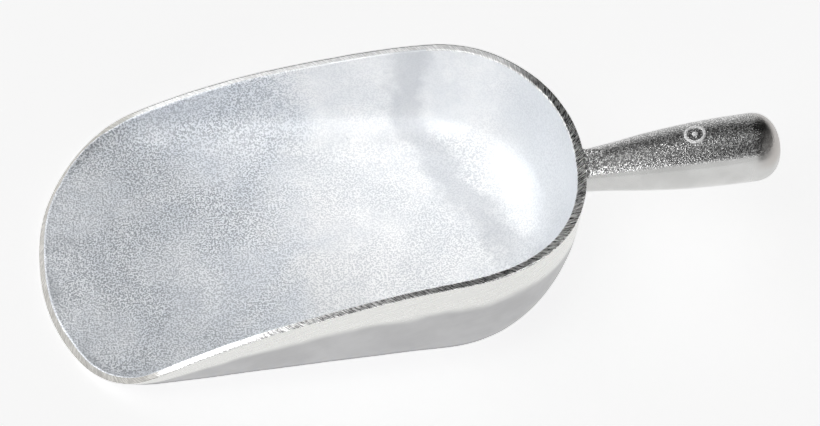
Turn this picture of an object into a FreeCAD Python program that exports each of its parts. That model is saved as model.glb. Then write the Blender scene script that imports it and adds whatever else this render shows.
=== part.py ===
import FreeCAD, Part
import math
import os

# One-piece cast aluminium ice scoop, in millimetres.
# +X points along the handle, +Z is up, and the scoop rests on z = 0.
# x = 0 is under the middle of the bowl, and y = 0 is the scoop's mirror plane.

# Bowl: plan outline of the outer wall, carried down to z = 0
FRONT_TIP_X = -124.2       # foremost point of the outline
FRONT_CENTRE_X = -65.3     # where the rounded front ends
BACK_CENTRE_X = 53.6       # where the rounded back starts
BACK_END_X = 111.1         # rearmost point of the outline
FRONT_HALF_WIDTH = 71.8
BACK_HALF_WIDTH = 62.6
FRONT_POWER = 2.28         # superellipse exponents: 2 is an ellipse
BACK_POWER = 2.24
HALF_STATIONS = 24         # stations along half of the outline
FRONT_SHARE = 0.33         # share of those stations on the rounded front
BACK_SHARE = 0.30          # and on the rounded back

# Bowl: wall and floor
WALL = 3.3                 # wall and floor thickness
BACK_EXTRA_WALL = 0.6      # the wall is this much thicker behind, where the handle pulls
DRAFT_DEG = 5.2            # outward lean of the walls
OUTER_CORNERS = (11.7, 15.0, 37.5)     # radius between floor and wall: front, sides, back
INNER_CORNERS = (8.4, 18.0, 34.0)
CORNER_BLEND = (-94.0, 36.0)   # stretch over which the front radius turns into the side radius
MOULD_HEIGHT = 66.0        # height of the bowl before its rim is ground
HEIGHT_SHARES = [0.0, 0.008, 0.025, 0.055, 0.1, 0.17, 0.26, 0.38, 0.54, 0.76, 1.0]

# Rim: x, and height of the ground outer edge there, from the lip to the back
RIM_PROFILE = [
    (-126.0, 1.1),
    (-115.0, 0.5),
    (-104.0, 0.8),
    (-93.0, 3.2),
    (-74.0, 11.8),
    (-49.0, 24.6),
    (-24.0, 35.0),
    (2.0, 43.2),
    (28.0, 50.0),
    (56.0, 54.9),
    (86.0, 55.5),
    (118.0, 52.3),
]
LIP_BEVEL_DEG = 46.0       # slope of the ground face at the lip; it is level elsewhere
BEVEL_HEIGHTS = (1.0, 10.0)    # edge heights between which the bevel runs out
GRIND_REACH = 9.0          # the ground face is cut this far inward from the outer edge
GRIND_OVERRUN = 2.5        # and this far outward
GRIND_FLANK = 2.0          # the tool's outer flank leans out this much for each millimetre up
GRIND_TOP = 80.0

# Handle: distance along its axis from the back of the rim, and radius there
HANDLE_START = (115.8, 45.2)   # x and z of the axis at the back of the rim
HANDLE_TILT_DEG = 8.0
HANDLE_PROFILE = [
    (-16.0, 8.7),          # the blank starts inside the bowl and is trimmed to its wall
    (-4.0, 8.7),
    (4.0, 9.3),
    (14.0, 10.5),
    (28.0, 12.35),
    (44.0, 13.8),
    (58.0, 14.45),
    (72.0, 14.6),
]
HANDLE_LENGTH = 84.0       # from the back of the rim to the tip of the rounded end
DOME_POWER = 2.2           # superellipse exponent of the rounded end
DOME_STEPS = 6

# Raised casting mark on top of the handle: a plain ring round a dot
MARK_ALONG = 48.5          # along the handle's axis
MARK_RING_R = 4.7
MARK_RING_WIDTH = 1.3
MARK_DOT_R = 1.3
MARK_HEIGHT = 0.6

TAN_DRAFT = math.tan(math.radians(DRAFT_DEG))
UP = FreeCAD.Vector(0, 0, 1)


def smoothstep(value, low, high):
    share = min(max((value - low) / (high - low), 0.0), 1.0)
    return share * share * (3.0 - 2.0 * share)


def superellipse(angle, power):
    """Point of a unit superellipse in the direction of angle."""
    x = math.cos(angle)
    y = math.sin(angle)
    radius = (abs(x) ** power + abs(y) ** power) ** (-1.0 / power)
    return x * radius, y * radius


def outline_point(turn):
    """x and y of half of the plan outline, for turn from 0 at the front to 1 at the back."""
    if turn < FRONT_SHARE:
        along, spread = superellipse(0.5 * math.pi * turn / FRONT_SHARE, FRONT_POWER)
        x = FRONT_CENTRE_X - (FRONT_CENTRE_X - FRONT_TIP_X) * along
    elif turn > 1.0 - BACK_SHARE:
        along, spread = superellipse(0.5 * math.pi * (1.0 - turn) / BACK_SHARE, BACK_POWER)
        x = BACK_CENTRE_X + (BACK_END_X - BACK_CENTRE_X) * along
    else:
        share = (turn - FRONT_SHARE) / (1.0 - FRONT_SHARE - BACK_SHARE)
        x = FRONT_CENTRE_X + (BACK_CENTRE_X - FRONT_CENTRE_X) * share
        spread = 1.0
    flare = (FRONT_HALF_WIDTH - BACK_HALF_WIDTH) / (BACK_CENTRE_X - FRONT_CENTRE_X)
    return x, spread * (BACK_HALF_WIDTH + flare * (BACK_CENTRE_X - x))


class Station:
    """One place on the outline: its point, outward normal, wall thickness and corner radii."""

    def __init__(self, index):
        mirrored = index > HALF_STATIONS
        step = 2 * HALF_STATIONS - index if mirrored else index
        turn = step / HALF_STATIONS
        nudge = 1e-4
        x0, y0 = outline_point(max(turn - nudge, 0.0))
        x1, y1 = outline_point(min(turn + nudge, 1.0))
        x, y = outline_point(turn)
        if step == 0:
            normal = FreeCAD.Vector(-1, 0, 0)
        elif step == HALF_STATIONS:
            normal = FreeCAD.Vector(1, 0, 0)
        else:
            normal = FreeCAD.Vector(y0 - y1, x1 - x0, 0).normalize()
        side = -1.0 if mirrored else 1.0
        self.point = FreeCAD.Vector(x, side * y, 0)
        self.normal = FreeCAD.Vector(normal.x, side * normal.y, 0)
        facing_back = max(normal.x, 0.0) ** 2
        self.wall = WALL + BACK_EXTRA_WALL * facing_back
        self.corner_radii = []
        for front, side, back in (OUTER_CORNERS, INNER_CORNERS):
            radius = front + (side - front) * smoothstep(x, *CORNER_BLEND)
            self.corner_radii.append(radius + (back - radius) * facing_back)

    def wall_point(self, height, inside=False):
        """Point on the outer or inner wall at a height, round the floor's corner and up the draft."""
        inset = self.wall if inside else 0.0
        floor = WALL if inside else 0.0
        radius = self.corner_radii[1] if inside else self.corner_radii[0]
        drop = max(radius - (height - floor), 0.0)
        setback = radius - math.sqrt(radius * radius - drop * drop)
        out = height * TAN_DRAFT - inset - setback
        return self.point + self.normal * out + UP * height

    def rim_point(self):
        """Point where the outer wall meets the rim's side profile, found by halving."""
        low = 0.0
        high = MOULD_HEIGHT
        for _ in range(30):
            height = 0.5 * (low + high)
            if height > rim_height(self.wall_point(height).x):
                high = height
            else:
                low = height
        return self.wall_point(low)


def make_rim_curve():
    curve = Part.BSplineCurve()
    points = [FreeCAD.Vector(x, 0, z) for x, z in RIM_PROFILE]
    curve.interpolate(Points=points, Parameters=[x for x, z in RIM_PROFILE])
    return curve


RIM_CURVE = make_rim_curve()
STATIONS = [Station(index) for index in range(2 * HALF_STATIONS)]


def rim_height(x):
    return RIM_CURVE.value(min(max(x, RIM_PROFILE[0][0]), RIM_PROFILE[-1][0])).z


def ring_edge(points):
    """Smooth closed edge through one point per station."""
    curve = Part.BSplineCurve()
    curve.interpolate(Points=points, Parameters=list(range(len(points) + 1)), PeriodicFlag=True)
    return curve.toShape()


def make_tub(inside):
    """Solid bounded by the outer or the inner wall, from its floor to above the rim."""
    floor = WALL if inside else 0.0
    top = MOULD_HEIGHT + (2.0 if inside else 0.0)
    rings = []
    for share in HEIGHT_SHARES:
        height = floor + (top - floor) * share
        rings.append(Part.Wire(ring_edge([s.wall_point(height, inside) for s in STATIONS])))
    solid, ruled, closed, degree = True, False, False, 3
    return Part.makeLoft(rings, solid, ruled, closed, degree)


def make_grinding_tool():
    """Ring-shaped solid over the ground rim: level along the sides, sloping at the lip."""
    low_in = []
    low_out = []
    top_in = []
    top_out = []
    for station in STATIONS:
        edge = station.rim_point()
        bevel = math.radians(LIP_BEVEL_DEG) * (1.0 - smoothstep(edge.z, *BEVEL_HEIGHTS))
        inward = UP * math.sin(bevel) - station.normal * math.cos(bevel)
        inner = edge + inward * GRIND_REACH
        outer = edge - inward * GRIND_OVERRUN
        rise = GRIND_TOP - outer.z
        low_in.append(inner)
        low_out.append(outer)
        top_in.append(FreeCAD.Vector(inner.x, inner.y, GRIND_TOP))
        top_out.append(outer + (station.normal * GRIND_FLANK + UP) * rise)
    loop = [ring_edge(points) for points in (low_in, low_out, top_out, top_in)]
    faces = [Part.makeRuledSurface(loop[i - 1], loop[i]) for i in range(len(loop))]
    shell = Part.Shell(faces)
    shell.sewShape()
    return Part.makeSolid(shell)


def make_handle_blank(extra=0.0):
    """Turned handle with a flared neck and a rounded end, grown outward by extra."""
    ahead = FreeCAD.Vector(1, 0, 0)
    inward = FreeCAD.Vector(0, 0, -1)
    flare_points = [FreeCAD.Vector(along, 0, radius + extra) for along, radius in HANDLE_PROFILE]
    flare = Part.BSplineCurve()
    flare.interpolate(Points=flare_points, InitialTangent=ahead, FinalTangent=ahead)
    shoulder = flare_points[-1]
    depth = HANDLE_LENGTH + extra - shoulder.x
    dome_points = []
    for step in range(DOME_STEPS + 1):
        across, along = superellipse(0.5 * math.pi * step / DOME_STEPS, DOME_POWER)
        dome_points.append(FreeCAD.Vector(shoulder.x + depth * along, 0, shoulder.z * across))
    dome = Part.BSplineCurve()
    dome.interpolate(Points=dome_points, InitialTangent=ahead, FinalTangent=inward)
    root = FreeCAD.Vector(flare_points[0].x, 0, 0)
    edges = [
        Part.LineSegment(root, flare_points[0]).toShape(),
        flare.toShape(),
        dome.toShape(),
        Part.LineSegment(dome_points[-1], root).toShape(),
    ]
    return Part.Face(Part.Wire(edges)).revolve(FreeCAD.Vector(0, 0, 0), ahead, 360)


def place_on_handle(shape):
    """Move a shape from the handle's own axis to its place behind the bowl."""
    placed = shape.copy()
    placed.rotate(FreeCAD.Vector(0, 0, 0), FreeCAD.Vector(0, 1, 0), -HANDLE_TILT_DEG)
    placed.translate(FreeCAD.Vector(HANDLE_START[0], 0, HANDLE_START[1]))
    return placed


def make_mark(handle_blank):
    """Raised ring and dot that follow the handle's round top."""
    base = FreeCAD.Vector(MARK_ALONG, 0, 0)
    reach = 2.0 * HANDLE_PROFILE[-1][1]
    ring = Part.makeCylinder(MARK_RING_R, reach, base)
    ring = ring.cut(Part.makeCylinder(MARK_RING_R - MARK_RING_WIDTH, reach, base))
    dot = Part.makeCylinder(MARK_DOT_R, reach, base)
    skin = make_handle_blank(MARK_HEIGHT)
    pieces = []
    for prism in (ring, dot):
        pieces.extend(prism.common(skin).cut(handle_blank).Solids)
    return Part.makeCompound(pieces)


def main():
    os.makedirs("parts", exist_ok=True)
    outer_tub = make_tub(inside=False)
    inner_tub = make_tub(inside=True)
    grinding_tool = make_grinding_tool()
    handle_blank = make_handle_blank()

    bowl = outer_tub.cut(inner_tub).cut(grinding_tool)
    handle = place_on_handle(handle_blank).cut(outer_tub).cut(grinding_tool)
    mark = place_on_handle(make_mark(handle_blank))

    nodes = {"bowl": bowl, "handle": handle, "casting_mark": mark}
    for name, shape in nodes.items():
        shape.exportStep("parts/" + name + ".step")
        print(name, len(shape.Solids), "solid(s)", round(shape.Volume / 1000.0, 2), "cm3", shape.isValid())


main()
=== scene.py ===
import math

import bpy
import numpy as np
from mathutils import Matrix, Vector, noise


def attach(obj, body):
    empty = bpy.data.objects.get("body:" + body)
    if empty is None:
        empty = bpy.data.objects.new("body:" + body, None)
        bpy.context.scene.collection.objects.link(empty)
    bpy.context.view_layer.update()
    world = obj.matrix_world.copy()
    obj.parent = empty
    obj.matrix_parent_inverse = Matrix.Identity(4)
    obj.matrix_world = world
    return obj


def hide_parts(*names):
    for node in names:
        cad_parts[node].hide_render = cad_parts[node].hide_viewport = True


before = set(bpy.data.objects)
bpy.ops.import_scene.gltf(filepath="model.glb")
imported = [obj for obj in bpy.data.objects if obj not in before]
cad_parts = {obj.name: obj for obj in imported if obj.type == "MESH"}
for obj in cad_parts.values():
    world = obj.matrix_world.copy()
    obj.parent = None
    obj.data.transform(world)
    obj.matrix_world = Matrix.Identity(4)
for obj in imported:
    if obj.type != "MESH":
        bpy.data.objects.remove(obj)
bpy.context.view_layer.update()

MM = 0.001

# ---------------------------------------------------------------- the casting's dimensions
# The same surfaces as the CAD model, in millimetres, so that the fine meshes lie on it.

FRONT_TIP_X = -124.2       # plan outline of the outer wall, carried down to the floor
FRONT_CENTRE_X = -65.3
BACK_CENTRE_X = 53.6
BACK_END_X = 111.1
FRONT_HALF_WIDTH = 71.8
BACK_HALF_WIDTH = 62.6
FRONT_POWER = 2.28
BACK_POWER = 2.24

WALL = 3.3
BACK_EXTRA_WALL = 0.6
DRAFT_DEG = 5.2
TAN_DRAFT = math.tan(math.radians(DRAFT_DEG))
OUTER_CORNERS = (11.7, 15.0, 37.5)     # radius between floor and wall: front, sides, back
INNER_CORNERS = (8.4, 18.0, 34.0)
CORNER_BLEND = (-94.0, 36.0)
MOULD_HEIGHT = 66.0

RIM_PROFILE = [            # x, and height of the rim's outer edge there
    (-126.0, 1.1),
    (-115.0, 0.5),
    (-104.0, 0.8),
    (-93.0, 3.2),
    (-74.0, 11.8),
    (-49.0, 24.6),
    (-24.0, 35.0),
    (2.0, 43.2),
    (28.0, 50.0),
    (56.0, 54.9),
    (86.0, 55.5),
    (118.0, 52.3),
]
LIP_BEVEL_DEG = 46.0
BEVEL_HEIGHTS = (1.0, 10.0)
GRIND_REACH = 9.0

HANDLE_START = (115.8, 45.2)
HANDLE_TILT_DEG = 8.0
HANDLE_TILT = math.radians(HANDLE_TILT_DEG)
HANDLE_PROFILE = [
    (-16.0, 8.7),
    (-4.0, 8.7),
    (4.0, 9.3),
    (14.0, 10.5),
    (28.0, 12.35),
    (44.0, 13.8),
    (58.0, 14.45),
    (72.0, 14.6),
]
HANDLE_LENGTH = 84.0
DOME_POWER = 2.2

MARK_ALONG = 48.5
MARK_RING_R = 4.7
MARK_RING_WIDTH = 1.3
MARK_DOT_R = 1.3
MARK_HEIGHT = 0.6

# ---------------------------------------------------------------- wear and unevenness

OUTER_ROUNDING = 0.4       # worn radius of the rim's outer edge
INNER_ROUNDING = 0.6       # and of its inner edge
MOST_ROUNDING = 0.35       # each is at most this share of the rim's width
EMBED = 1.2                # how far the handle's root runs into the bowl's wall
FILLET = 0.7               # small cast radius where it leaves the wall
FILLET_REACH = 1.6         # and how far from the wall it ends
FILLET_LIMIT = 1.3         # its rise towards the wall stops at this share, inside the wall
BELOW_RIM = 0.05           # the root stays this much below the ground rim
RISE_BEHIND_RIM = 0.5      # but may rise this much more for each millimetre behind it
LIP_STEP = 0.02            # the rim's inner edge is at least this much above the floor
MARK_SINK = 0.25           # the mark's edges run this far into the handle
RING_SPREAD = 1.08         # the ring's outer edge and the dot's edge are this much further out
DOT_SPREAD = 1.1
RING_FLATNESS = 5.0        # powers of their sections: higher is flatter on top
DOT_FLATNESS = 3.0
DOT_MIDDLE = 0.04          # share of the dot's radius that its closing triangles fill

# Waviness of the cast surfaces: height, wavelength and offset of each wave
BOWL_WAVES = [(0.10, 16.0, 0.0), (0.05, 6.0, 50.0)]
HANDLE_WAVES = [(0.05, 11.0, 0.0), (0.015, 3.2, 30.0)]

# ---------------------------------------------------------------- mesh fineness

HALVINGS = 40              # steps of every search by halving
OUTLINE_POINTS = 1200      # on each stretch of the outline, before it is divided evenly
STATIONS = 540             # around the bowl
OUTSIDE_ROWS = 44          # from the middle of the underside up to the rim
INSIDE_ROWS = 110          # from the rim down to the middle of the floor
ROUNDING_ROWS = 5          # round each worn edge of the rim
STRAIGHT_POINTS = 30       # on a section's straight wall, before it is divided evenly
CORNER_POINTS = 60         # round its corner
FLOOR_POINTS = 30          # and along its floor
SPINE = (-62.0, 58.0)      # line in the middle of the floor where the rows end
HANDLE_COLUMNS = 200
SHAFT_ROWS = 190
ROOT_ROWS = 60             # rows of the shaft that may carry the fillet
ROOT_SEARCH = 26.0         # the shaft starts within this far of the blank's start
DOME_ROWS = 40
MARK_COLUMNS = 120
RING_ROWS = 17
DOT_ROWS = 12


def smoothstep(value, low, high):
    """0 under low, 1 over high, and a smooth rise between."""
    share = np.clip((value - low) / (high - low), 0.0, 1.0)
    return share * share * (3.0 - 2.0 * share)


def natural_spline(knots, wanted):
    """Values at wanted of the natural cubic spline through knots, a list of (x, y)."""
    x, y = np.array(knots, float).T
    step = np.diff(x)
    slope = np.diff(y) / step
    count = len(x)
    matrix = np.eye(count)
    right = np.zeros(count)
    for i in range(1, count - 1):
        matrix[i, i - 1:i + 2] = step[i - 1], 2.0 * (step[i - 1] + step[i]), step[i]
        right[i] = 6.0 * (slope[i] - slope[i - 1])
    bend = np.linalg.solve(matrix, right)
    wanted = np.clip(wanted, x[0], x[-1])
    k = np.clip(np.searchsorted(x, wanted) - 1, 0, count - 2)
    a, b = x[k + 1] - wanted, wanted - x[k]
    h = step[k]
    curve = (bend[k] * a ** 3 + bend[k + 1] * b ** 3) / (6.0 * h)
    return curve + (y[k] / h - bend[k] * h / 6.0) * a + (y[k + 1] / h - bend[k + 1] * h / 6.0) * b


def resample(points, count, skip=0.0):
    """count points evenly spaced along a polyline, starting skip along it."""
    lengths = np.linalg.norm(np.diff(points, axis=0), axis=1)
    along = np.concatenate([[0.0], np.cumsum(lengths)])
    wanted = np.linspace(skip, along[-1], count)
    return np.stack([np.interp(wanted, along, points[:, i]) for i in range(points.shape[1])], 1)


# ---------------------------------------------------------------- the bowl's surfaces

def superellipse(angle, power):
    """Point of a unit superellipse in the direction of angle."""
    x, y = np.cos(angle), np.sin(angle)
    radius = (np.abs(x) ** power + np.abs(y) ** power) ** (-1.0 / power)
    return x * radius, y * radius


def half_outline():
    """Fine polyline of the outer plan outline from the front tip to the back end, y above 0."""
    quarter = np.linspace(0.0, 0.5 * math.pi, OUTLINE_POINTS)
    along, spread = superellipse(quarter, FRONT_POWER)
    front_x = FRONT_CENTRE_X - (FRONT_CENTRE_X - FRONT_TIP_X) * along
    back_along, back_spread = superellipse(quarter[::-1], BACK_POWER)
    back_x = BACK_CENTRE_X + (BACK_END_X - BACK_CENTRE_X) * back_along
    side_x = np.linspace(FRONT_CENTRE_X, BACK_CENTRE_X, OUTLINE_POINTS)[1:-1]
    x = np.concatenate([front_x, side_x, back_x])
    spread = np.concatenate([spread, np.ones_like(side_x), back_spread])
    flare = (FRONT_HALF_WIDTH - BACK_HALF_WIDTH) / (BACK_CENTRE_X - FRONT_CENTRE_X)
    return np.stack([x, spread * (BACK_HALF_WIDTH + flare * (BACK_CENTRE_X - x))], 1)


class Outline:
    """The stations round the bowl: points, outward normals, wall and corner radii of each."""

    def __init__(self):
        half = resample(half_outline(), STATIONS // 2 + 1)
        mirror = half[-2:0:-1] * (1.0, -1.0)
        self.point = np.concatenate([half, mirror])
        tangent = np.roll(self.point, -1, 0) - np.roll(self.point, 1, 0)
        tangent /= np.linalg.norm(tangent, axis=1)[:, None]
        self.normal = np.stack([-tangent[:, 1], tangent[:, 0]], 1)
        facing_back = np.clip(self.normal[:, 0], 0.0, None) ** 2
        blend = smoothstep(self.point[:, 0], *CORNER_BLEND)
        self.corner = []
        for front, side, back in (OUTER_CORNERS, INNER_CORNERS):
            radius = front + (side - front) * blend
            self.corner.append(radius + (back - radius) * facing_back)
        self.wall = WALL + BACK_EXTRA_WALL * facing_back
        step = np.linalg.norm(np.roll(self.point, -1, 0) - self.point, axis=1)
        self.along = np.concatenate([[0.0], np.cumsum(step)[:-1]])

    def out(self, height, inside):
        """How far outside the plan outline the outer or the inner wall is at a height."""
        inset = self.wall if inside else 0.0
        floor = WALL if inside else 0.0
        radius = self.corner[int(inside)]
        drop = np.clip(radius - (height - floor), 0.0, radius)
        return height * TAN_DRAFT - inset - (radius - np.sqrt(radius ** 2 - drop ** 2))

    def place(self, out, height):
        """Points this far outside the plan outline, at this height."""
        plan = self.point + self.normal * np.asarray(out)[:, None]
        return np.column_stack([plan, height])


def halve(low, high, is_low):
    """Largest value between low and high, per station, for which is_low still holds."""
    for _ in range(HALVINGS):
        middle = 0.5 * (low + high)
        below = is_low(middle)
        low = np.where(below, middle, low)
        high = np.where(below, high, middle)
    return low


def wall_profile(outline, top, inside, count, skip):
    """Points from skip below height top on the wall, round the corner, to the middle of the floor."""
    floor = WALL if inside else 0.0
    radius = outline.corner[int(inside)]
    straight = np.clip(top - floor - radius, 0.0, None)
    first_turn = np.arcsin(np.clip(1.0 - (top - floor) / radius, 0.0, 1.0))
    rows = []
    for share in np.linspace(0.0, 1.0, STRAIGHT_POINTS, endpoint=False):
        height = top - straight * share
        rows.append(outline.place(outline.out(height, inside), height))
    for share in np.linspace(0.0, 1.0, CORNER_POINTS):
        turn = first_turn + (0.5 * math.pi - first_turn) * share
        height = floor + radius * (1.0 - np.sin(turn))
        rows.append(outline.place(outline.out(height, inside), height))
    edge = rows[-1]
    share = (outline.point[:, 0] - FRONT_TIP_X) / (BACK_END_X - FRONT_TIP_X)
    spine_x = SPINE[0] + (SPINE[1] - SPINE[0]) * share
    spine = np.column_stack([spine_x, np.zeros_like(spine_x), np.full_like(spine_x, floor)])
    for share in np.linspace(0.0, 1.0, FLOOR_POINTS)[1:]:
        rows.append(edge + (spine - edge) * share)
    fine = np.stack(rows, 1)
    return np.stack([resample(line, count, start) for line, start in zip(fine, skip)], 0)


def rim_edge(outline):
    """Height at which the outer wall meets the ground rim, for each station."""
    def below_rim(height):
        place = outline.place(outline.out(height, False), height)
        return height <= natural_spline(RIM_PROFILE, place[:, 0])

    zero = np.zeros(STATIONS)
    return halve(zero, zero + MOULD_HEIGHT, below_rim)


def rounded(start, corner, end):
    """Rows of points that turn a corner in a smooth bend."""
    bend = []
    for share in np.linspace(0.0, 1.0, ROUNDING_ROWS):
        left = 1.0 - share
        bend.append(start * left * left + corner * 2.0 * share * left + end * share * share)
    return bend


def bowl_sections(outline):
    """Outside, rim and inside points of every station's section.

    A section runs from the middle of the underside, over the rim, to the middle of the floor.
    """
    outer_top = rim_edge(outline)
    bevel = math.radians(LIP_BEVEL_DEG) * (1.0 - smoothstep(outer_top, *BEVEL_HEIGHTS))
    outer_out = outline.out(outer_top, False)

    def before_inner_wall(reach):
        height = outer_top + reach * np.sin(bevel)
        return outer_out - reach * np.cos(bevel) > outline.out(np.maximum(height, WALL), True)

    zero = np.zeros(STATIONS)
    reach = halve(zero, zero + GRIND_REACH, before_inner_wall)
    inner_top = np.maximum(outer_top + reach * np.sin(bevel), WALL + LIP_STEP)
    outer_corner = outline.place(outer_out, outer_top)
    inner_corner = outline.place(outline.out(inner_top, True), inner_top)
    across = inner_corner - outer_corner
    width = np.linalg.norm(across, axis=1)
    across /= width[:, None]
    outer_worn = np.minimum(OUTER_ROUNDING, MOST_ROUNDING * width)
    inner_worn = np.minimum(INNER_ROUNDING, MOST_ROUNDING * width)
    outside = wall_profile(outline, outer_top, False, OUTSIDE_ROWS, outer_worn)[:, ::-1]
    inside = wall_profile(outline, inner_top, True, INSIDE_ROWS, inner_worn)
    face_start = outer_corner + across * outer_worn[:, None]
    face_end = inner_corner - across * inner_worn[:, None]
    rim = rounded(outside[:, -1], outer_corner, face_start)[1:]
    rim += [face_start + (face_end - face_start) * share for share in (1 / 3, 2 / 3)]
    rim += rounded(face_end, inner_corner, inside[:, 0])[:-1]
    return outside, np.stack(rim, 1), inside


# ---------------------------------------------------------------- mesh helpers

def waviness(grid, waves):
    """Smooth unevenness at each point of a grid, as the sum of its waves."""
    total = 0.0
    for height, wavelength, offset in waves:
        places = (grid.reshape(-1, 3) + offset) / wavelength
        total = total + height * np.array([noise.noise(Vector(place)) for place in places])
    return total.reshape(grid.shape[:2])


def mesh_object(name, points, faces, materials, face_material=None):
    """Object from points in millimetres, faces, and a material index per face."""
    mesh = bpy.data.meshes.new(name)
    mesh.from_pydata((points * MM).tolist(), [], [list(f) for f in faces])
    for material in materials:
        mesh.materials.append(material)
    if face_material is not None:
        mesh.polygons.foreach_set("material_index", np.asarray(face_material, np.int32))
    mesh.shade_smooth()
    made = bpy.data.objects.new(name, mesh)
    bpy.context.scene.collection.objects.link(made)
    return made


def grid_faces(rows, columns, first=0):
    """Quads of a grid that closes on itself, whose vertices run row by row from index first."""
    faces = []
    for row in range(rows - 1):
        this_row = first + row * columns
        next_row = this_row + columns
        for column in range(columns):
            after = (column + 1) % columns
            faces.append((next_row + column, next_row + after, this_row + after, this_row + column))
    return faces


def tip_faces(last_row, columns, tip):
    """Triangles from a grid's last row, which starts at index last_row, to one closing vertex."""
    return [(last_row + (column + 1) % columns, last_row + column, tip) for column in range(columns)]


def vertex_normals(grid):
    """Normals of a (row, column, 3) grid that closes on itself along its columns."""
    down = np.gradient(grid, axis=0)
    around = np.roll(grid, -1, 1) - np.roll(grid, 1, 1)
    normal = np.cross(around, down)
    length = np.linalg.norm(normal, axis=2)[:, :, None]
    return normal / np.maximum(length, 1e-9)


# ---------------------------------------------------------------- materials

class Nodes:
    """Short calls for building one material's node tree."""

    def __init__(self, name):
        self.material = bpy.data.materials.new(name)
        self.material.use_nodes = True
        self.tree = self.material.node_tree
        self.tree.nodes.clear()
        self.surface = self.add("ShaderNodeBsdfPrincipled")
        output = self.add("ShaderNodeOutputMaterial")
        self.join(self.surface.outputs["BSDF"], output.inputs["Surface"])
        coordinates = self.add("ShaderNodeTexCoord")
        self.place = coordinates.outputs["Object"]
        self.facing = coordinates.outputs["Normal"]

    def add(self, kind, **settings):
        node = self.tree.nodes.new(kind)
        for name, value in settings.items():
            setattr(node, name, value)
        return node

    def join(self, source, socket):
        self.tree.links.new(source, socket)

    def feed(self, socket, value):
        """Give a socket a number or a colour, or join another node's output to it."""
        if isinstance(value, bpy.types.NodeSocket):
            self.join(value, socket)
        else:
            socket.default_value = value

    def noise(self, size, detail=2.0, roughness=0.5, where=None):
        """Noise of about 0 to 1 whose features are about size metres across."""
        node = self.add("ShaderNodeTexNoise")
        self.join(where or self.place, node.inputs["Vector"])
        node.inputs["Scale"].default_value = 1.0 / size
        node.inputs["Detail"].default_value = detail
        node.inputs["Roughness"].default_value = roughness
        return node.outputs["Fac"]

    def casting(self):
        """Place on the bowl: along the rim, down from its outer edge, and the share below the rim."""
        return self.add("ShaderNodeAttribute", attribute_name="casting").outputs["Vector"]

    def axes(self, vector):
        """The x, y and z of a place or a direction."""
        split = self.add("ShaderNodeSeparateXYZ")
        self.join(vector, split.inputs[0])
        return split.outputs["X"], split.outputs["Y"], split.outputs["Z"]

    def stretched(self, where, sizes, turn=0.0):
        """The place turned about its third axis, then scaled so that one unit is sizes metres."""
        if turn:
            rotate = self.add("ShaderNodeVectorRotate", rotation_type="Z_AXIS")
            self.join(where, rotate.inputs["Vector"])
            rotate.inputs["Angle"].default_value = turn
            where = rotate.outputs["Vector"]
        node = self.add("ShaderNodeVectorMath", operation="DIVIDE")
        self.join(where, node.inputs[0])
        node.inputs[1].default_value = sizes
        return node.outputs["Vector"]

    def pits(self, spacing, radius):
        """1 in the middle of small round pits, 0 elsewhere; about one cell in four has a pit."""
        node = self.add("ShaderNodeTexVoronoi")
        self.join(self.place, node.inputs["Vector"])
        node.inputs["Scale"].default_value = 1.0 / spacing
        depth = self.ramp(node.outputs["Distance"], 0.0, radius / spacing, 1.0, 0.0)
        split = self.add("ShaderNodeSeparateColor")
        self.join(node.outputs["Color"], split.inputs[0])
        return self.combine(depth, self.ramp(split.outputs[0], 0.72, 0.78, 0.0, 1.0), "MULTIPLY")

    def painted_reflection_band(self):
        """Soft dark band down the side wall and slantwise over the back of the floor: a painted
        reflection.
        """
        across = self.add("ShaderNodeVectorMath", operation="DOT_PRODUCT")
        self.join(self.place, across.inputs[0])
        across.inputs[1].default_value = (0.88, 0.475, 0.0)
        wander = self.ramp(self.noise(0.018, 3.0, 0.6), 0.3, 0.7, -0.0755, -0.0675)
        off_line = self.combine(self.combine(across.outputs["Value"], wander), 0.0, "ABSOLUTE")
        return self.ramp(off_line, 0.002, 0.011, 0.50, 0.0)

    def ramp(self, value, low, high, to_low, to_high, smooth=True):
        """to_low where value is under low, to_high where it is over high, and a blend between."""
        node = self.add("ShaderNodeMapRange")
        node.interpolation_type = "SMOOTHSTEP" if smooth else "LINEAR"
        self.join(value, node.inputs["Value"])
        node.inputs["From Min"].default_value = low
        node.inputs["From Max"].default_value = high
        self.feed(node.inputs["To Min"], to_low)
        self.feed(node.inputs["To Max"], to_high)
        return node.outputs["Result"]

    def combine(self, first, second, operation="ADD"):
        """Arithmetic on two numbers; ABSOLUTE reads only the first."""
        node = self.add("ShaderNodeMath", operation=operation)
        self.feed(node.inputs[0], first)
        self.feed(node.inputs[1], second)
        return node.outputs["Value"]

    def blend(self, share, first, second):
        """Mix of two colours; a share of 1 is the second."""
        node = self.add("ShaderNodeMix", data_type="RGBA")
        self.feed(node.inputs["Factor"], share)
        self.feed(node.inputs["A"], first)
        self.feed(node.inputs["B"], second)
        return node.outputs["Result"]

    def bump(self, height, depth, before=None):
        """Relief of this depth in metres, on top of an earlier relief."""
        node = self.add("ShaderNodeBump")
        node.inputs["Distance"].default_value = depth
        self.join(height, node.inputs["Height"])
        if before is not None:
            self.join(before, node.inputs["Normal"])
        return node.outputs["Normal"]

    def finish(self, colour, roughness, normal, metallic=1.0):
        """Join everything to the surface and return the material."""
        self.feed(self.surface.inputs["Metallic"], metallic)
        self.feed(self.surface.inputs["Base Color"], colour)
        self.feed(self.surface.inputs["Roughness"], roughness)
        self.join(normal, self.surface.inputs["Normal"])
        return self.material


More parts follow.
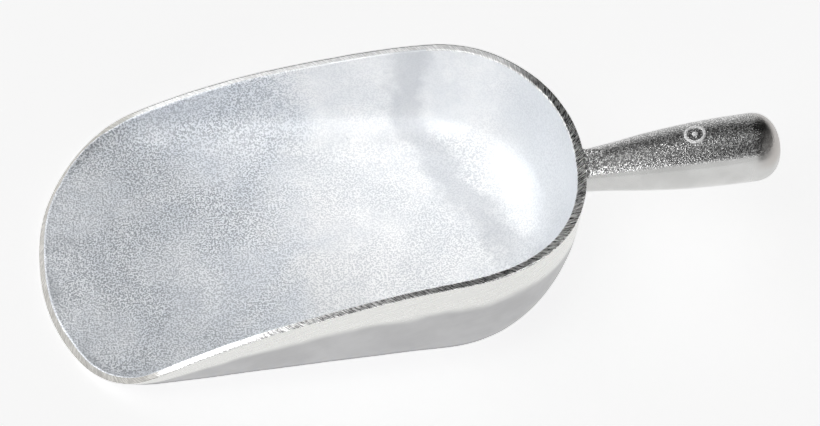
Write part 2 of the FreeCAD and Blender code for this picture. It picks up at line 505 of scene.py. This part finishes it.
def inside_metal():
    """Sand-cast and tumbled: pale and finely stippled, duller at the lip and in the front half.
    The front half's denser dark stipple is partly real stipple and partly painted shade.

    It is smoother behind. Less dark stipple on the far side wall is a painted pool of light, the
    darker back wall is painted shade, and a dark band over the side wall and floor is a painted
    reflection. The skin is partly oxide, so it is half chalky and half metal.
    """
    n = Nodes("cast_inside")
    x, y, height = n.axes(n.place)
    behind = n.ramp(x, 0.01, 0.08, 0.0, 1.0)
    smooth = n.ramp(height, 0.004, 0.018, 0.0, behind)
    cloud = n.ramp(n.noise(0.022, 4.0, 0.62), 0.35, 0.65, 0.0, 1.0)
    # Partly real stipple and partly painted shade: the front half gets more dark stipple, so the back
    # half looks lit.
    front = n.combine(x, n.ramp(n.noise(0.030, 3.0, 0.6), 0.3, 0.7, -0.012, 0.012))
    wear_and_painted_shade = n.ramp(front, -0.030, 0.012, 1.0, 0.0)
    at_lip = n.ramp(front, -0.118, -0.100, 1.0, 0.0)
    grains = n.noise(0.0008, 1.5, 0.6)
    patchy = n.ramp(n.noise(0.035, 2.0), 0.35, 0.65, 0.0, 1.0)
    pits = n.pits(0.007, 0.0006)
    bright = n.blend(cloud, (0.88, 0.895, 0.91, 1.0), (0.96, 0.965, 0.97, 1.0))
    dull = n.blend(cloud, (0.85, 0.88, 0.925, 1.0), (0.95, 0.97, 1.0, 1.0))
    dull = n.blend(at_lip, dull, (0.66, 0.68, 0.71, 1.0))
    pale = n.blend(wear_and_painted_shade, bright, dull)
    # Painted shade: the back wall above the floor is darker.
    rear = n.ramp(x, 0.078, 0.100, 0.0, 0.80)
    painted_back_wall_shade = n.ramp(height, 0.006, 0.016, 0.0, rear)
    pale = n.blend(painted_back_wall_shade, pale, (0.70, 0.725, 0.755, 1.0))
    # Painted reflection: a soft dark band over the side wall and the back of the floor.
    pale = n.blend(n.painted_reflection_band(), pale, (0.55, 0.57, 0.60, 1.0))
    grain_share = n.ramp(smooth, 0.0, 1.0, n.ramp(wear_and_painted_shade, 0.0, 1.0, 0.50, 1.0), 0.25)
    hollows = n.ramp(grains, 0.42, 0.56, n.ramp(patchy, 0.0, 1.0, 0.60, 0.95), 0.0)
    shade = n.combine(hollows, grain_share, "MULTIPLY")
    # Painted light: less dark stipple on the far side wall behind the middle, a pool of light painted
    # there.
    far_side_painted_light = n.ramp(y, 0.048, 0.058, 0.0, n.ramp(x, -0.008, 0.010, 0.0, 0.5))
    shade = n.combine(shade, n.ramp(far_side_painted_light, 0.0, 1.0, 1.0, 0.0), "MULTIPLY")
    dark = n.combine(shade, n.combine(pits, 0.5, "MULTIPLY"))
    colour = n.blend(dark, pale, (0.40, 0.425, 0.465, 1.0))
    rough = n.ramp(grains, 0.3, 0.7, 0.50, 0.64)
    roughness = n.ramp(smooth, 0.0, 1.0, rough, 0.48, smooth=False)
    grain_height = n.combine(grains, grain_share, "MULTIPLY")
    scratches = n.noise(1.0, 3.0, 0.65, n.stretched(n.casting(), (0.030, 0.0010, 1.0)))
    scratch_height = n.combine(scratches, smooth, "MULTIPLY")
    normal = n.bump(n.noise(0.007, 2.0), 0.0005)
    normal = n.bump(scratch_height, 0.00008, normal)
    normal = n.bump(n.combine(grain_height, pits, "SUBTRACT"), 0.0003, normal)
    return n.finish(colour, roughness, normal, 0.5)


def outside_metal():
    """Tumbled smooth: satin, with faint waves and hairlines, and a glossier polish near the rim.
    The rim band's pale tone is partly a painted reflection of the lit paper; the darker lower wall
    and the dark faces underneath are painted shade.
    """
    n = Nodes("cast_outside")
    casting = n.casting()
    share_below_rim = n.axes(casting)[2]
    # Partly polish and partly painted reflection: the band near the rim is pale and glossier.
    edge = n.combine(share_below_rim, n.ramp(n.noise(0.030, 2.0), 0.3, 0.7, -0.025, 0.025))
    polish_and_painted_reflection = n.ramp(edge, 0.24, 0.36, 1.0, 0.0)
    cloud = n.noise(0.02, 3.0, 0.6)
    hair = n.noise(1.0, 3.0, 0.7, n.stretched(casting, (0.020, 0.0009, 1000.0), 0.15))
    pits = n.pits(0.009, 0.0005)
    # Painted shade: the wall darkens towards the floor, standing in for the shaded floor it reflects.
    low = n.ramp(share_below_rim, 0.5, 1.0, 0.0, 0.6)
    clouded = n.ramp(cloud, 0.3, 0.7, 0.0, 1.0)
    cast = n.blend(clouded, (0.47, 0.47, 0.475, 1.0), (0.54, 0.54, 0.545, 1.0))
    cast = n.blend(low, cast, (0.44, 0.44, 0.45, 1.0))
    facing_up = n.axes(n.facing)[2]
    # Painted shade: faces turned down under the scoop are dark.
    under = n.ramp(facing_up, -0.45, -0.34, 0.85, 0.0)
    cast = n.blend(under, cast, (0.22, 0.22, 0.23, 1.0))
    pale = n.blend(polish_and_painted_reflection, cast, (0.79, 0.79, 0.77, 1.0))
    colour = n.blend(n.combine(pits, 0.5, "MULTIPLY"), pale, (0.40, 0.40, 0.40, 1.0))
    roughness = n.combine(n.ramp(hair, 0.3, 0.7, 0.24, 0.34), n.ramp(polish_and_painted_reflection, 0.0, 1.0, 0.08, 0.0))
    normal = n.bump(n.noise(0.010, 2.0), 0.00012)
    normal = n.bump(hair, 0.00002, normal)
    normal = n.bump(n.combine(n.noise(0.0012, 2.0), pits, "SUBTRACT"), 0.00004, normal)
    return n.finish(colour, roughness, normal)


def rim_metal():
    """Ground flat on a belt: fine slanting strokes, and matt from wear along the lip. Its far side
    is pale and chalky, a painted highlight, with a dark line along its outer edge.
    """
    n = Nodes("ground_rim")
    y, height = n.axes(n.place)[1:]
    casting = n.casting()
    matt = n.ramp(height, 0.011, 0.018, 1.0, 0.0)
    strokes = n.noise(1.0, 2.5, 0.6, n.stretched(casting, (0.0005, 0.0050, 1000.0), 0.75))
    tone = n.ramp(strokes, 0.45, 0.60, 0.0, 1.0)
    colour = n.blend(tone, (0.44, 0.44, 0.44, 1.0), (0.97, 0.97, 0.96, 1.0))
    wear_and_painted_shade = n.blend(tone, (0.42, 0.41, 0.39, 1.0), (0.62, 0.61, 0.58, 1.0))
    # Painted highlight: the far side of the rim is pale and chalky, with a dark line along its outer
    # edge.
    far_side_painted_light = n.ramp(y, 0.040, 0.060, 0.0, 0.80)
    bright = n.blend(tone, (0.80, 0.80, 0.80, 1.0), (1.0, 1.0, 1.0, 1.0))
    across_rim = n.axes(casting)[1]
    outer_edge = n.ramp(across_rim, 0.0006, 0.0011, 0.9, 0.0)
    bright = n.blend(outer_edge, bright, (0.10, 0.10, 0.11, 1.0))
    colour = n.blend(matt, n.blend(far_side_painted_light, colour, bright), wear_and_painted_shade)
    chalky = n.combine(matt, far_side_painted_light, "MAXIMUM")
    rough = n.ramp(strokes, 0.3, 0.7, 0.22, 0.36)
    roughness = n.ramp(chalky, 0.0, 1.0, rough, 0.60, smooth=False)
    metallic = n.ramp(chalky, 0.0, 1.0, 1.0, 0.25, smooth=False)
    return n.finish(colour, roughness, n.bump(strokes, 0.00020), metallic)


def handle_metal():
    """As cast and tumbled: glossier than the bowl, with a fine stipple on top; the upward faces
    of the rounded end are brownish, a painted reflection.
    """
    n = Nodes("cast_handle")
    x = n.axes(n.place)[0]
    facing_up = n.axes(n.facing)[2]
    shaft = n.ramp(x, 0.184, 0.194, 1.0, 0.4)
    on_top = n.ramp(facing_up, 0.50, 0.62, 0.0, shaft)
    cloud = n.noise(0.02, 3.0, 0.6)
    grains = n.noise(0.0007, 1.5, 0.6)
    clouded = n.ramp(cloud, 0.35, 0.65, 0.0, 1.0)
    smooth = n.blend(clouded, (0.59, 0.59, 0.58, 1.0), (0.66, 0.66, 0.65, 1.0))
    bumps = n.ramp(grains, 0.49, 0.60, 0.0, 1.0)
    stipple = n.blend(bumps, (0.36, 0.36, 0.36, 1.0), (1.0, 1.0, 0.99, 1.0))
    rough = n.ramp(grains, 0.3, 0.7, 0.20, 0.30)
    smooth_rough = n.ramp(x, 0.180, 0.190, 0.16, 0.36)
    roughness = n.ramp(on_top, 0.0, 1.0, smooth_rough, rough, smooth=False)
    normal = n.bump(n.noise(0.005, 2.0), 0.00005)
    normal = n.bump(n.combine(grains, on_top, "MULTIPLY"), 0.00026, normal)
    # Painted reflection: the upward faces of the rounded end turn brownish.
    end = n.ramp(x, 0.184, 0.195, 0.0, 0.60)
    painted_brown_reflection = n.ramp(facing_up, 0.0, 0.3, 0.0, end)
    colour = n.blend(painted_brown_reflection, n.blend(on_top, smooth, stipple), (0.50, 0.46, 0.43, 1.0))
    return n.finish(colour, roughness, normal)


def mark_metal():
    """The raised mark, scuffed bright; its plain white non-metal finish is partly a painted highlight.
    """
    n = Nodes("rubbed_mark_with_painted_highlight")
    wear = n.noise(0.0008, 3.0, 0.6)
    # Partly painted highlight: plain white, not metal, so it stays bright under any light.
    colour = n.blend(wear, (0.97, 0.97, 0.97, 1.0), (1.0, 1.0, 1.0, 1.0))
    return n.finish(colour, n.ramp(wear, 0.3, 0.7, 0.5, 0.62), n.bump(wear, 0.00006), 0.0)


# ---------------------------------------------------------------- the pieces

INSIDE, OUTSIDE, RIM = 0, 1, 2         # the bowl's finishes, in the order of its materials


def add_casting_places(piece, grid, outline, first_rim):
    """Store on every face corner the place on the bowl that the finishes use, in metres.

    x runs along the rim, y is the distance down the section from the rim's outer edge, and z is
    how far down towards the floor the corner is, as a share of the rim's height there.
    """
    rows, columns = grid.shape[:2]
    steps = np.linalg.norm(np.diff(grid, axis=0), axis=2)
    down = np.concatenate([np.zeros((1, columns)), np.cumsum(steps, 0)], 0)
    down -= down[first_rim]
    whole_round = np.linalg.norm(outline.point[-1] - outline.point[0]) + outline.along[-1]
    along_rim = np.append(outline.along, whole_round)
    share = 1.0 - grid[:, :, 2] / np.maximum(grid[first_rim, :, 2], 1.0)
    corner_row = np.empty((rows - 1, columns, 4), int)
    corner_row[:, :, :2] = np.arange(1, rows)[:, None, None]
    corner_row[:, :, 2:] = np.arange(rows - 1)[:, None, None]
    corner_column = np.arange(columns)[None, :, None] + np.array([0, 1, 1, 0])
    corner_column = np.broadcast_to(corner_column, corner_row.shape)
    places = np.zeros(corner_row.shape + (3,))
    places[..., 0] = along_rim[corner_column]
    places[..., 1] = down[corner_row, corner_column % columns]
    places[..., 2] = share[corner_row, corner_column % columns] / MM
    layer = piece.data.attributes.new("casting", "FLOAT_VECTOR", "CORNER")
    layer.data.foreach_set("vector", (places * MM).astype(np.float32).ravel())


def make_bowl(outline):
    """The bowl as one skin: rows run up the outside, over the rim and down the inside."""
    outside, rim, inside = bowl_sections(outline)
    grid = np.concatenate([outside, rim, inside], 1).transpose(1, 0, 2).copy()
    rows, columns = grid.shape[:2]
    first_rim = OUTSIDE_ROWS - 1
    last_rim = first_rim + rim.shape[1] + 2 - ROUNDING_ROWS
    push = waviness(grid, BOWL_WAVES)
    push[0] = 0.0
    grid += vertex_normals(grid) * push[:, :, None]
    grid[:first_rim, :, 2] = np.maximum(grid[:first_rim, :, 2], 0.0)
    finish = np.full((rows - 1, columns), INSIDE)
    finish[:first_rim] = OUTSIDE
    finish[first_rim:last_rim] = RIM
    at_back = outline.point[:, 0] > BACK_CENTRE_X
    finish[last_rim:last_rim + ROUNDING_ROWS - 1, at_back] = RIM
    materials = [inside_metal(), outside_metal(), rim_metal()]
    faces = grid_faces(rows, columns)
    piece = mesh_object("bowl_casting", grid.reshape(-1, 3), faces, materials, finish.ravel())
    add_casting_places(piece, grid, outline, first_rim)
    return piece


def handle_radius(along):
    """Radius of the shaft at a distance along its axis."""
    return natural_spline(HANDLE_PROFILE, along)


def on_handle(local):
    """From the handle's own axes (along, across, up) to the object's."""
    along, across, up = np.moveaxis(local, -1, 0)
    x = HANDLE_START[0] + along * math.cos(HANDLE_TILT) - up * math.sin(HANDLE_TILT)
    z = HANDLE_START[1] + along * math.sin(HANDLE_TILT) + up * math.cos(HANDLE_TILT)
    return np.stack([x, across, z], -1)


class BackWall:
    """How far points near the handle's root are outside the bowl's outer wall."""

    def __init__(self, outline):
        self.outline = outline
        self.rim = rim_edge(outline)

    def measure(self, points):
        """Distance outside the wall, and height of the ground rim nearby."""
        clear = np.empty(len(points))
        rim = np.empty(len(points))
        for i, point in enumerate(points):
            gap = point[:2] - self.outline.point
            nearest = int(np.argmin(np.sum(gap * gap, 1)))
            out = self.outline.out(np.full(STATIONS, point[2]), False)[nearest]
            clear[i] = gap[nearest] @ self.outline.normal[nearest] - out
            rim[i] = self.rim[nearest]
        return clear, rim


def make_handle(outline):
    """The shaft from inside the bowl's back wall to the shoulder, and the rounded end."""
    wall = BackWall(outline)
    angle = np.linspace(0.0, 2.0 * math.pi, HANDLE_COLUMNS, endpoint=False)
    around = np.stack([np.sin(angle), np.cos(angle)], 1)

    def shaft_row(along):
        return np.column_stack([along, around * handle_radius(along)[:, None]])

    def inside_wall(along):
        return wall.measure(on_handle(shaft_row(along)))[0] < -EMBED

    low = np.full(HANDLE_COLUMNS, HANDLE_PROFILE[0][0])
    start = halve(low, low + ROOT_SEARCH, inside_wall)
    shoulder_along, shoulder_radius = HANDLE_PROFILE[-1]
    rows = []
    for share in np.linspace(0.0, 1.0, SHAFT_ROWS):
        rows.append(shaft_row(start + (shoulder_along - start) * share))
    for turn in np.linspace(0.0, 0.5 * math.pi, DOME_ROWS + 1)[1:-1]:
        across, out = superellipse(turn, DOME_POWER)
        along = np.full(HANDLE_COLUMNS, shoulder_along + (HANDLE_LENGTH - shoulder_along) * out)
        rows.append(np.column_stack([along, around * shoulder_radius * across]))
    grid = on_handle(np.stack(rows))
    normal = -vertex_normals(grid)
    for row in range(ROOT_ROWS):
        clear, rim = wall.measure(grid[row])
        swell = FILLET * np.clip(1.0 - clear / FILLET_REACH, 0.0, FILLET_LIMIT) ** 2
        grid[row] += normal[row] * swell[:, None]
        ceiling = rim - BELOW_RIM + RISE_BEHIND_RIM * np.clip(clear, 0.0, None)
        grid[row, :, 2] = np.minimum(grid[row, :, 2], ceiling)
    grid += normal * waviness(grid, HANDLE_WAVES)[:, :, None]
    tip = on_handle(np.array([[HANDLE_LENGTH, 0.0, 0.0]]))
    points = np.concatenate([grid.reshape(-1, 3), tip])
    faces = grid_faces(len(rows), HANDLE_COLUMNS)
    faces += tip_faces((len(rows) - 1) * HANDLE_COLUMNS, HANDLE_COLUMNS, len(points) - 1)
    return mesh_object("handle_casting", points, faces, [handle_metal()])


def make_mark():
    """Ring and dot, draped over the top of the handle, with their edges sunk into it."""
    turns = np.linspace(0.0, 2.0 * math.pi, MARK_COLUMNS, endpoint=False)

    def loop(radius, fullness):
        """Circle round the mark's middle, from sunk at a fullness of 0 to full height at 1."""
        along = MARK_ALONG + radius * np.cos(turns)
        across = radius * np.sin(turns)
        height = (MARK_HEIGHT + MARK_SINK) * fullness - MARK_SINK
        up = np.sqrt(handle_radius(along) ** 2 - across ** 2) + height
        return on_handle(np.column_stack([along, across, up]))

    ring = []
    for share in np.linspace(-1.0, 1.0, RING_ROWS):
        radius = MARK_RING_R - 0.5 * MARK_RING_WIDTH * (1.0 - RING_SPREAD * share)
        ring.append(loop(radius, 1.0 - abs(share) ** RING_FLATNESS))
    dot = []
    for share in np.linspace(1.0, DOT_MIDDLE, DOT_ROWS):
        dot.append(loop(MARK_DOT_R * DOT_SPREAD * share, 1.0 - share ** DOT_FLATNESS))
    middle = dot[-1].mean(0)
    points = np.concatenate(ring + dot + [middle[None]])
    dot_start = RING_ROWS * MARK_COLUMNS
    faces = grid_faces(RING_ROWS, MARK_COLUMNS)
    faces += grid_faces(DOT_ROWS, MARK_COLUMNS, dot_start)
    last_row = dot_start + (DOT_ROWS - 1) * MARK_COLUMNS
    faces += tip_faces(last_row, MARK_COLUMNS, len(points) - 1)
    return mesh_object("raised_mark", points, faces, [mark_metal()])


# ---------------------------------------------------------------- studio and camera

FLOOR_GLOW = 0.775         # the paper is lit from below, as on a light table
FLOOR_HALF = 30000.0       # half the paper's size, in millimetres
FLOOR_DROP = 0.05          # and how far it lies below the scoop

# Soft patches of bright sky: azimuth from the handle's direction, elevation, strength
SKY = [
    (215.0, 52.0, 0.78),
    (150.0, 52.0, 0.50),
    (90.0, 8.0, 0.80),
    (0.0, 25.0, 0.20),
    (320.0, 25.0, 0.30),
    (262.0, 4.0, 1.00),
]
SKY_INNER = 12.0           # degrees from its middle: each patch is full out to here
SKY_OUTER = 30.0           # and has faded to nothing here

# Softboxes near the scoop: place, what it points at, watts, width, and spread in degrees
SOFTBOXES = [
    ((0.200, 0.000, 0.360), (0.040, 0.000, 0.000), 0.036, 0.12, 27.0),
    ((-0.180, -0.460, 0.310), (0.040, 0.070, 0.040), 0.042, 0.20, 21.0),
    ((-0.360, 0.200, 0.280), (-0.030, 0.000, 0.000), 0.24, 0.20, 90.0),
    ((-0.450, -0.050, 0.290), (0.030, 0.000, 0.000), 1.00, 0.35, 180.0),
]

# A long lens above the near side, a little towards the lip; metres, degrees, millimetres
CAMERA_AIM = (0.04172, -0.00524, 0.02966)
CAMERA_DISTANCE = 2.0185
CAMERA_AZIMUTH = 8.055     # from the -Y side towards the lip
CAMERA_ELEVATION = 50.316
CAMERA_ROLL = 3.187
CAMERA_LENS = 208.55       # focal length


def make_floor():
    """Plain pale paper, far wider than the view."""
    n = Nodes("floor_paper")
    paper = n.blend(n.noise(0.004, 3.0), (0.86, 0.86, 0.86, 1.0), (0.865, 0.865, 0.865, 1.0))
    n.feed(n.surface.inputs["Base Color"], paper)
    n.surface.inputs["Roughness"].default_value = 0.9
    n.surface.inputs["Specular IOR Level"].default_value = 0.1
    n.surface.inputs["Emission Color"].default_value = (1.0, 1.0, 1.0, 1.0)
    n.surface.inputs["Emission Strength"].default_value = FLOOR_GLOW
    sides = [(-1, -1), (1, -1), (1, 1), (-1, 1)]
    corners = np.array([(x * FLOOR_HALF, y * FLOOR_HALF, -FLOOR_DROP) for x, y in sides])
    floor = mesh_object("studio_floor", corners, [(0, 1, 2, 3)], [n.material])


def make_world():
    """A dark studio with a few large soft lights around it, far away."""
    world = bpy.data.worlds.new("studio")
    bpy.context.scene.world = world
    world.use_nodes = True
    tree = world.node_tree
    tree.nodes.clear()

    def add(kind, **settings):
        node = tree.nodes.new(kind)
        for name, value in settings.items():
            setattr(node, name, value)
        return node

    towards = add("ShaderNodeTexCoord").outputs["Generated"]
    total = None
    for azimuth, elevation, strength in SKY:
        flat, up = math.radians(azimuth), math.radians(elevation)
        facing = add("ShaderNodeVectorMath", operation="DOT_PRODUCT")
        tree.links.new(towards, facing.inputs[0])
        facing.inputs[1].default_value = (
            math.cos(flat) * math.cos(up), math.sin(flat) * math.cos(up), math.sin(up)
        )
        patch = add("ShaderNodeMapRange", interpolation_type="SMOOTHSTEP")
        tree.links.new(facing.outputs["Value"], patch.inputs["Value"])
        patch.inputs["From Min"].default_value = math.cos(math.radians(SKY_OUTER))
        patch.inputs["From Max"].default_value = math.cos(math.radians(SKY_INNER))
        patch.inputs["To Max"].default_value = strength
        if total is None:
            total = patch.outputs["Result"]
        else:
            both = add("ShaderNodeMath", operation="ADD")
            tree.links.new(total, both.inputs[0])
            tree.links.new(patch.outputs["Result"], both.inputs[1])
            total = both.outputs["Value"]
    shine = add("ShaderNodeBackground")
    tree.links.new(total, shine.inputs["Strength"])
    output = add("ShaderNodeOutputWorld")
    tree.links.new(shine.outputs[0], output.inputs["Surface"])


def make_softboxes(pieces):
    """Softboxes that light the scoop and not the paper."""
    lit = bpy.data.collections.new("lit_by_softboxes")
    for piece in pieces:
        lit.objects.link(piece)
    for index, (place, aim, watts, width, spread) in enumerate(SOFTBOXES):
        data = bpy.data.lights.new("softbox_%d" % index, "AREA")
        data.energy = watts
        data.shape = "SQUARE"
        data.size = width
        data.spread = math.radians(spread)
        softbox = bpy.data.objects.new(data.name, data)
        bpy.context.scene.collection.objects.link(softbox)
        softbox.location = place
        softbox.rotation_mode = "QUATERNION"
        softbox.rotation_quaternion = (Vector(place) - Vector(aim)).to_track_quat("Z", "Y")
        softbox.visible_camera = False
        softbox.light_linking.receiver_collection = lit


def make_camera():
    """The camera, from its aim, distance, directions and lens."""
    azimuth = math.radians(CAMERA_AZIMUTH)
    elevation = math.radians(CAMERA_ELEVATION)
    roll = math.radians(CAMERA_ROLL)
    back = Vector((
        -math.sin(azimuth) * math.cos(elevation),
        -math.cos(azimuth) * math.cos(elevation),
        math.sin(elevation),
    ))
    level = Vector((math.cos(azimuth), -math.sin(azimuth), 0.0))
    rise = back.cross(level)
    right = level * math.cos(roll) + rise * math.sin(roll)
    up = rise * math.cos(roll) - level * math.sin(roll)
    data = bpy.data.cameras.new("camera")
    data.sensor_width = 36.0
    data.lens = CAMERA_LENS
    data.clip_start = 0.1
    data.clip_end = 100.0
    camera = bpy.data.objects.new("camera", data)
    bpy.context.scene.collection.objects.link(camera)
    turned = Matrix((right, up, back)).transposed().to_4x4()
    place = Vector(CAMERA_AIM) + back * CAMERA_DISTANCE
    camera.matrix_world = Matrix.Translation(place) @ turned
    bpy.context.scene.camera = camera


make_camera()
make_floor()
make_world()

outline = Outline()
made = [make_bowl(outline), make_handle(outline), make_mark()]
names = [("bowl", "cast_bowl"), ("handle", "cast_handle"), ("casting_mark", "cast_mark")]
for piece, (node, finish) in zip(made, names):
    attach(piece, "root")
    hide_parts(node)
make_softboxes(made)

bpy.context.scene.view_settings.view_transform = "Standard"
